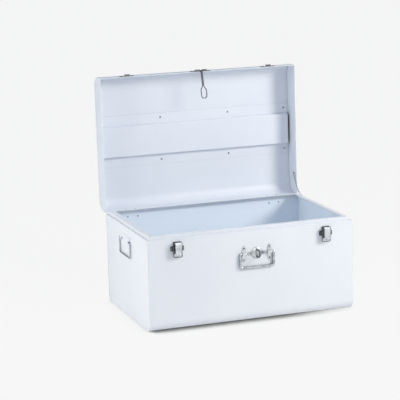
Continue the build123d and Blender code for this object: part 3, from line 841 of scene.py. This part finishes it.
@dataclass
class HaspSet:
    """The wire hasp, its plate on the lid, and the staple that it drops over."""

    plate_edge: float = 0.25 * MM

    def build(self) -> None:
        """Rounds the plates' edges and dresses the wires."""
        ease("hasp_plate", Body.LID, DARK_PLATING, self.plate_edge)
        ease("staple_plate", Body.TRUNK, BAIL_PLATING, self.plate_edge)
        carry("hasp_wire", WIRE_PLATING)
        carry("staple", DARK_PLATING)


@dataclass
class FrontHandle:
    """The carrying handle on the front."""

    plate_edge: float = 0.25 * MM

    def build(self) -> None:
        """Rounds the plates' edges and dresses the bail."""
        for side in Side:
            ease(f"handle_{side.value}_plate", Body.TRUNK, BRIGHT_PLATING, self.plate_edge)
        carry("handle_bail", BAIL_PLATING)


@dataclass
class EndHandle:
    """The drop handle on one end."""

    side: Side
    plate_edge: float = 0.3 * MM

    def build(self) -> None:
        """Rounds the plate's edges and dresses the bail."""
        ease(f"end_handle_{self.side.value}_plate", Body.TRUNK, FITTING_PAINT, self.plate_edge)
        carry(f"end_handle_{self.side.value}_bail", DULL_ZINC)


@dataclass
class RivetSets:
    """The rivets that hold the fittings."""

    dark: tuple[str, ...] = ("catch", "keeper", "hasp", "staple", "handle")
    dull: tuple[str, ...] = ("hinge_body", "hinge_lid")
    painted: tuple[str, ...] = ("end_handle",)

    def build(self) -> None:
        """Dresses each group of rivets."""
        coats = {DARK_PLATING: self.dark, DULL_ZINC: self.dull, FITTING_PAINT: self.painted}
        for finish, names in coats.items():
            for name in names:
                carry(f"{name}_rivets", finish)


@dataclass
class LidChain:
    """The slack chain from the lid's end to the rim."""

    links: int = 15
    length: float = 8.4 * MM
    width: float = 4.8 * MM
    wire: float = 0.6 * MM
    stud_radius: float = 1.0 * MM
    play: float = 0.1 * MM
    ring_steps: int = 24
    wire_steps: int = 10
    middle_zone: float = 0.05

    @property
    def pitch(self) -> float:
        """How far each link stands from the last."""
        return self.length - 4 * self.wire - self.play

    @property
    def reach(self) -> float:
        """How far the first and last links' middles stand from the studs' middles."""
        return self.length / 2 - 2 * self.wire - self.stud_radius - self.play

    @property
    def run(self) -> float:
        """The chain's length between its studs' middles."""
        return (self.links - 1) * self.pitch + 2 * self.reach

    def ends(self) -> tuple[Vector, Vector]:
        """The middle of the chain's line at its two studs.

        Returns:
            The place on the lid and the place on the rim.
        """
        middle = centre_of("stay_chain").x
        upper, lower = centre_of("stay_lid_stud"), centre_of("stay_body_stud")
        return Vector((middle, upper.y, upper.z)), Vector((middle, lower.y, lower.z))

    def link(self) -> bpy.types.Object:
        """Models one oval link along X, from a ring drawn out at its middle.

        Returns:
            The link's object, which is copied and then removed.
        """
        ring = self.width / 2 - self.wire
        half = self.length / 2 - self.width / 2
        deselect()
        bpy.ops.mesh.primitive_torus_add(
            major_segments=self.ring_steps,
            minor_segments=self.wire_steps,
            major_radius=ring,
            minor_radius=self.wire,
        )
        piece = bpy.context.object
        for sign in (1, -1):
            bpy.ops.object.mode_set(mode="EDIT")
            bpy.ops.mesh.select_all(action="DESELECT")
            bpy.ops.object.mode_set(mode="OBJECT")
            for vertex in piece.data.vertices:
                vertex.select = ring * self.middle_zone < sign * vertex.co.x < self.width
            bpy.ops.object.mode_set(mode="EDIT")
            bpy.ops.transform.translate(value=(sign * half, 0, 0))
            bpy.ops.object.mode_set(mode="OBJECT")
        bpy.ops.object.shade_smooth()
        return piece

    def line(self) -> tuple[Vector, Vector, float]:
        """The chain's arc.

        Returns:
            The arc's centre, its first radius vector and the angle it turns.
        """
        upper, lower = self.ends()
        chord = lower - upper
        # a shallow arc is longer than its chord by 8/3 of its sag squared over the chord
        sag = math.sqrt(3 / 8 * chord.length * (self.run - chord.length))
        across = Vector((1, 0, 0)).cross(chord.normalized())
        radius = (chord.length**2 / 4 + sag**2) / (2 * sag)
        centre = upper + chord / 2 + across * (sag - radius)
        return centre, upper - centre, 2 * math.asin(chord.length / (2 * radius))

    def hang(self, pattern: bpy.types.Object) -> list[bpy.types.Object]:
        """Copies a link along the arc, each copy a quarter turn from the last.

        Args:
            pattern: the link, along X at the origin.

        Returns:
            The copies, from the lid to the rim.
        """
        centre, first, sweep = self.line()
        turn_axis = first.cross(self.ends()[1] - centre).normalized()
        copies = []
        for i in range(self.links):
            angle = sweep * (self.reach + i * self.pitch) / self.run
            outward = (Matrix.Rotation(angle, 3, turn_axis) @ first).normalized()
            along = turn_axis.cross(outward)
            flat = turn_axis if i % 2 == 0 else outward
            turn = Matrix((along, flat.cross(along), flat)).transposed().to_4x4()
            copy = bpy.data.objects.new(f"link_{i}", pattern.data.copy())
            copy.data.transform(Matrix.Translation(centre + outward * first.length) @ turn)
            bpy.context.scene.collection.objects.link(copy)
            copies.append(copy)
        return copies

    def build(self) -> None:
        """Joins the hung links into one piece between the lid and the body."""
        pattern = self.link()
        copies = self.hang(pattern)
        bpy.data.objects.remove(pattern)
        take(copies[0])
        for copy in copies:
            copy.select_set(True)
        bpy.ops.object.join()
        chain = bpy.context.object
        chain.name = "lid_chain"
        dress(chain, DULL_ZINC)
        upper, lower = self.ends()
        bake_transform(chain)
        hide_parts("stay_chain")
        carry("stay_lid_stud", DULL_ZINC)
        carry("stay_body_stud", DULL_ZINC)
        log.info("hung lid_chain of %d links", self.links)


# ---------------------------------------------------------------- studio

BACKDROP = (0.93, 0.93, 0.93)
LAMP_WHITE = (1.0, 0.95, 0.875)
SKY_WHITE = (0.86, 0.93, 1.0)


@dataclass(frozen=True)
class Softbox:
    """A round soft lamp that the camera doesn't see."""

    name: str
    power: float
    size: float
    at: Place
    aim: Place
    colour: Colour = LAMP_WHITE
    mirrored: bool = True

    def build(self) -> None:
        """Hangs the lamp at its place and turns it to its aim."""
        light = bpy.data.lights.new(self.name, "AREA")
        light.shape = "DISK"
        light.size = self.size
        light.energy = self.power
        light.color = self.colour
        lamp = bpy.data.objects.new(self.name, light)
        lamp.location = self.at
        lamp.rotation_mode = "QUATERNION"
        lamp.rotation_quaternion = (Vector(self.at) - Vector(self.aim)).to_track_quat("Z", "Y")
        lamp.visible_camera = False
        lamp.visible_glossy = self.mirrored
        bpy.context.scene.collection.objects.link(lamp)


KEY = Softbox("key", power=44.5, size=0.95, at=(1.72, -1.48, 1.45), aim=(0.0, 0.0, 0.25))
# low on the left, and kept out of reflections, where it would whiten the top of the shut lid
FILL = Softbox(
    "fill",
    power=9.0,
    size=0.9,
    at=(-1.35, -0.05, 0.52),
    aim=(-0.3, 0.0, 0.2),
    mirrored=False,
)
CARD = Softbox("card", power=2.4, size=1.0, at=(-0.1, -1.5, 0.62), aim=(0.0, -0.2, 0.25))
TOP = Softbox(
    "top",
    power=4.0,
    size=1.4,
    at=(-0.1, -0.55, 2.1),
    aim=(-0.05, -0.1, 0.0),
    colour=SKY_WHITE,
)


@dataclass
class Floor:
    """A wide pale floor that keeps the trunk's shadow, with a contact shadow painted in, darkest where
    they meet.
    """

    colour: Colour = (0.88, 0.88, 0.88)
    contact_shadow_colour: Colour = (0.31, 0.31, 0.29)
    size: float = 90.0
    roughness: float = 0.9
    shine: float = 0.1
    glow: float = 0.97
    contact_reach: float = 0.07
    contact_fade: Span = (0.44, 0.86)
    left_clear: Span = (-0.315, -0.28)
    left_contact: float = 0.12
    right_fade: Span = (0.08, 0.33)
    right_contact: float = 0.3
    mirror_fade: Span = (-1.0, -0.1)
    mirror_dark: float = 0.06

    def contact(self, tree: Tree, x: Socket) -> Socket:
        """The mask of the contact shadow painted into the floor for the camera, where the trunk meets
        the floor.

        Args:
            tree: the floor's node tree.
            x: the place along X.

        Returns:
            The mask's socket.
        """
        near = tree.nodes.new("ShaderNodeAmbientOcclusion")
        near.inputs["Distance"].default_value = self.contact_reach
        shut_in = add_range(tree, near.outputs["AO"], self.contact_fade, (1.0, 0.0))
        # the painted contact shadow is faded out by position beside the left end and thinned towards
        # the right
        beside = add_range(tree, x, self.left_clear, (self.left_contact, 1.0))
        fading = add_range(tree, x, self.right_fade, (1.0, self.right_contact))
        return add_math(tree, "MULTIPLY", add_math(tree, "MULTIPLY", shut_in, beside), fading)

    def build(self) -> None:
        """Lays the floor, which glows like the backdrop, less where the contact shadow is painted for
        the camera.
        """
        deselect()
        bpy.ops.mesh.primitive_plane_add(size=self.size)
        floor = bpy.context.object
        floor.name = "floor"
        material, tree, shader = new_material("pale floor")
        shader.inputs["Roughness"].default_value = self.roughness
        shader.inputs["Specular IOR Level"].default_value = self.shine
        x = split_place(tree, object_place(tree))[0]
        ray = tree.nodes.new("ShaderNodeLightPath").outputs
        # the contact shadow is painted into the floor's colour, for camera rays only
        contact = add_math(tree, "MULTIPLY", self.contact(tree, x), ray["Is Camera Ray"])
        colour = mix_colours(tree, contact, self.colour, self.contact_shadow_colour)
        tree.links.new(colour, shader.inputs["Base Color"])
        share = add_math(tree, "MULTIPLY", add_math(tree, "SUBTRACT", 1.0, contact), self.glow)
        seen = add_math(tree, "MULTIPLY", ray["Is Camera Ray"], share)
        # the pale floor ends in the dark of the room on the left, which bright metal shows
        lit = add_range(tree, x, self.mirror_fade, (self.mirror_dark, 1.0))
        mirrored = add_math(tree, "MULTIPLY", ray["Is Glossy Ray"], lit)
        through = add_math(tree, "ADD", mirrored, ray["Is Transmission Ray"])
        glow = tree.nodes.new("ShaderNodeEmission")
        feed(tree, glow.inputs["Color"], BACKDROP)
        amount = add_math(tree, "ADD", seen, through)
        surface = mix_shaders(tree, amount, shader.outputs["BSDF"], glow.outputs["Emission"])
        tree.links.new(surface, tree.nodes["Material Output"].inputs["Surface"])
        floor.data.materials.append(material)


@dataclass
class Room:
    """Soft pale light from all round, a little blue, behind a plain backdrop."""

    sky: Colour = (0.62, 0.80, 1.0)
    sky_strength: float = 0.36
    band_height: Span = (0.05, 0.5)
    band_across: Span = (-0.2, 0.6)
    overhead: float = 0.85
    left_dark: float = 0.03
    right_bright: float = 0.9

    def mirrored(self, tree: Tree) -> Socket:
        """What bright metal shows: a dim band above the floor, darker on the left.

        Args:
            tree: the world's node tree.

        Returns:
            The band's colour socket.
        """
        place = tree.nodes.new("ShaderNodeTexCoord").outputs["Generated"]
        x, _, z = split_place(tree, place)
        height = add_range(tree, z, self.band_height, (0.0, 1.0))
        across = add_range(tree, x, self.band_across, (self.left_dark, self.right_bright))
        above = add_math(tree, "MULTIPLY", height, self.overhead)
        band = add_math(tree, "MAXIMUM", above, across)
        shade = tree.nodes.new("ShaderNodeCombineColor")
        for socket in shade.inputs[:3]:
            tree.links.new(band, socket)
        return shade.outputs["Color"]

    def build(self) -> None:
        """Sets the world's light, what mirrors in metal, and what the camera sees behind."""
        world = bpy.data.worlds.new("studio")
        bpy.context.scene.world = world
        world.use_nodes = True
        tree = world.node_tree
        tree.nodes.clear()
        ray = tree.nodes.new("ShaderNodeLightPath").outputs
        soft = add_background(tree, self.sky, self.sky_strength)
        metal = add_background(tree, self.mirrored(tree))
        lit = mix_shaders(tree, ray["Is Glossy Ray"], soft, metal)
        direct = add_math(tree, "MAXIMUM", ray["Is Camera Ray"], ray["Is Transmission Ray"])
        seen = mix_shaders(tree, direct, lit, add_background(tree, BACKDROP))
        output = tree.nodes.new("ShaderNodeOutputWorld")
        tree.links.new(seen, output.inputs["Surface"])


@dataclass
class Camera:
    """A long lens from the front left, a little above."""

    at: Place = (-1.607, -4.358, 1.266)
    heading: float = 0.337
    tilt: float = 0.204
    roll: float = -0.0255
    focal_pixels: float = 1679.0
    picture_pixels: float = 400.0
    sensor: float = 36.0
    far_limit: float = 200.0

    def build(self) -> None:
        """Sets up the camera: it turns right by its heading, down by its tilt, then rolls."""
        data = bpy.data.cameras.new("camera")
        data.sensor_width = self.sensor
        data.lens = self.focal_pixels / self.picture_pixels * self.sensor
        data.clip_end = self.far_limit
        level = Vector((math.cos(self.heading), -math.sin(self.heading), 0.0))
        onward = Vector((math.sin(self.heading), math.cos(self.heading), 0.0))
        ahead = onward * math.cos(self.tilt) - Vector((0.0, 0.0, math.sin(self.tilt)))
        upright = level.cross(ahead)
        right = math.cos(self.roll) * level + math.sin(self.roll) * upright
        up = -math.sin(self.roll) * level + math.cos(self.roll) * upright
        turn = Matrix((right, up, -ahead)).transposed().to_4x4()
        camera = bpy.data.objects.new("camera", data)
        camera.matrix_world = Matrix.Translation(self.at) @ turn
        bpy.context.scene.collection.objects.link(camera)
        bpy.context.scene.camera = camera


def main() -> None:
    """Builds the trunk and its studio."""
    logging.basicConfig(level=logging.INFO, format="%(name)s: %(message)s")
    bpy.context.scene.view_settings.view_transform = "Standard"
    assemblies = [TrunkBody(), Lid(), HaspSet(), FrontHandle(), RivetSets(), LidChain()]
    for side in Side:
        assemblies += [Hinge(side), DrawCatch(side), EndHandle(side)]
    assemblies += [Floor(), Room(), KEY, FILL, CARD, TOP, Camera()]
    for assembly in assemblies:
        assembly.build()
        log.info("built %s", type(assembly).__name__)


if __name__ == "__main__":
    main()
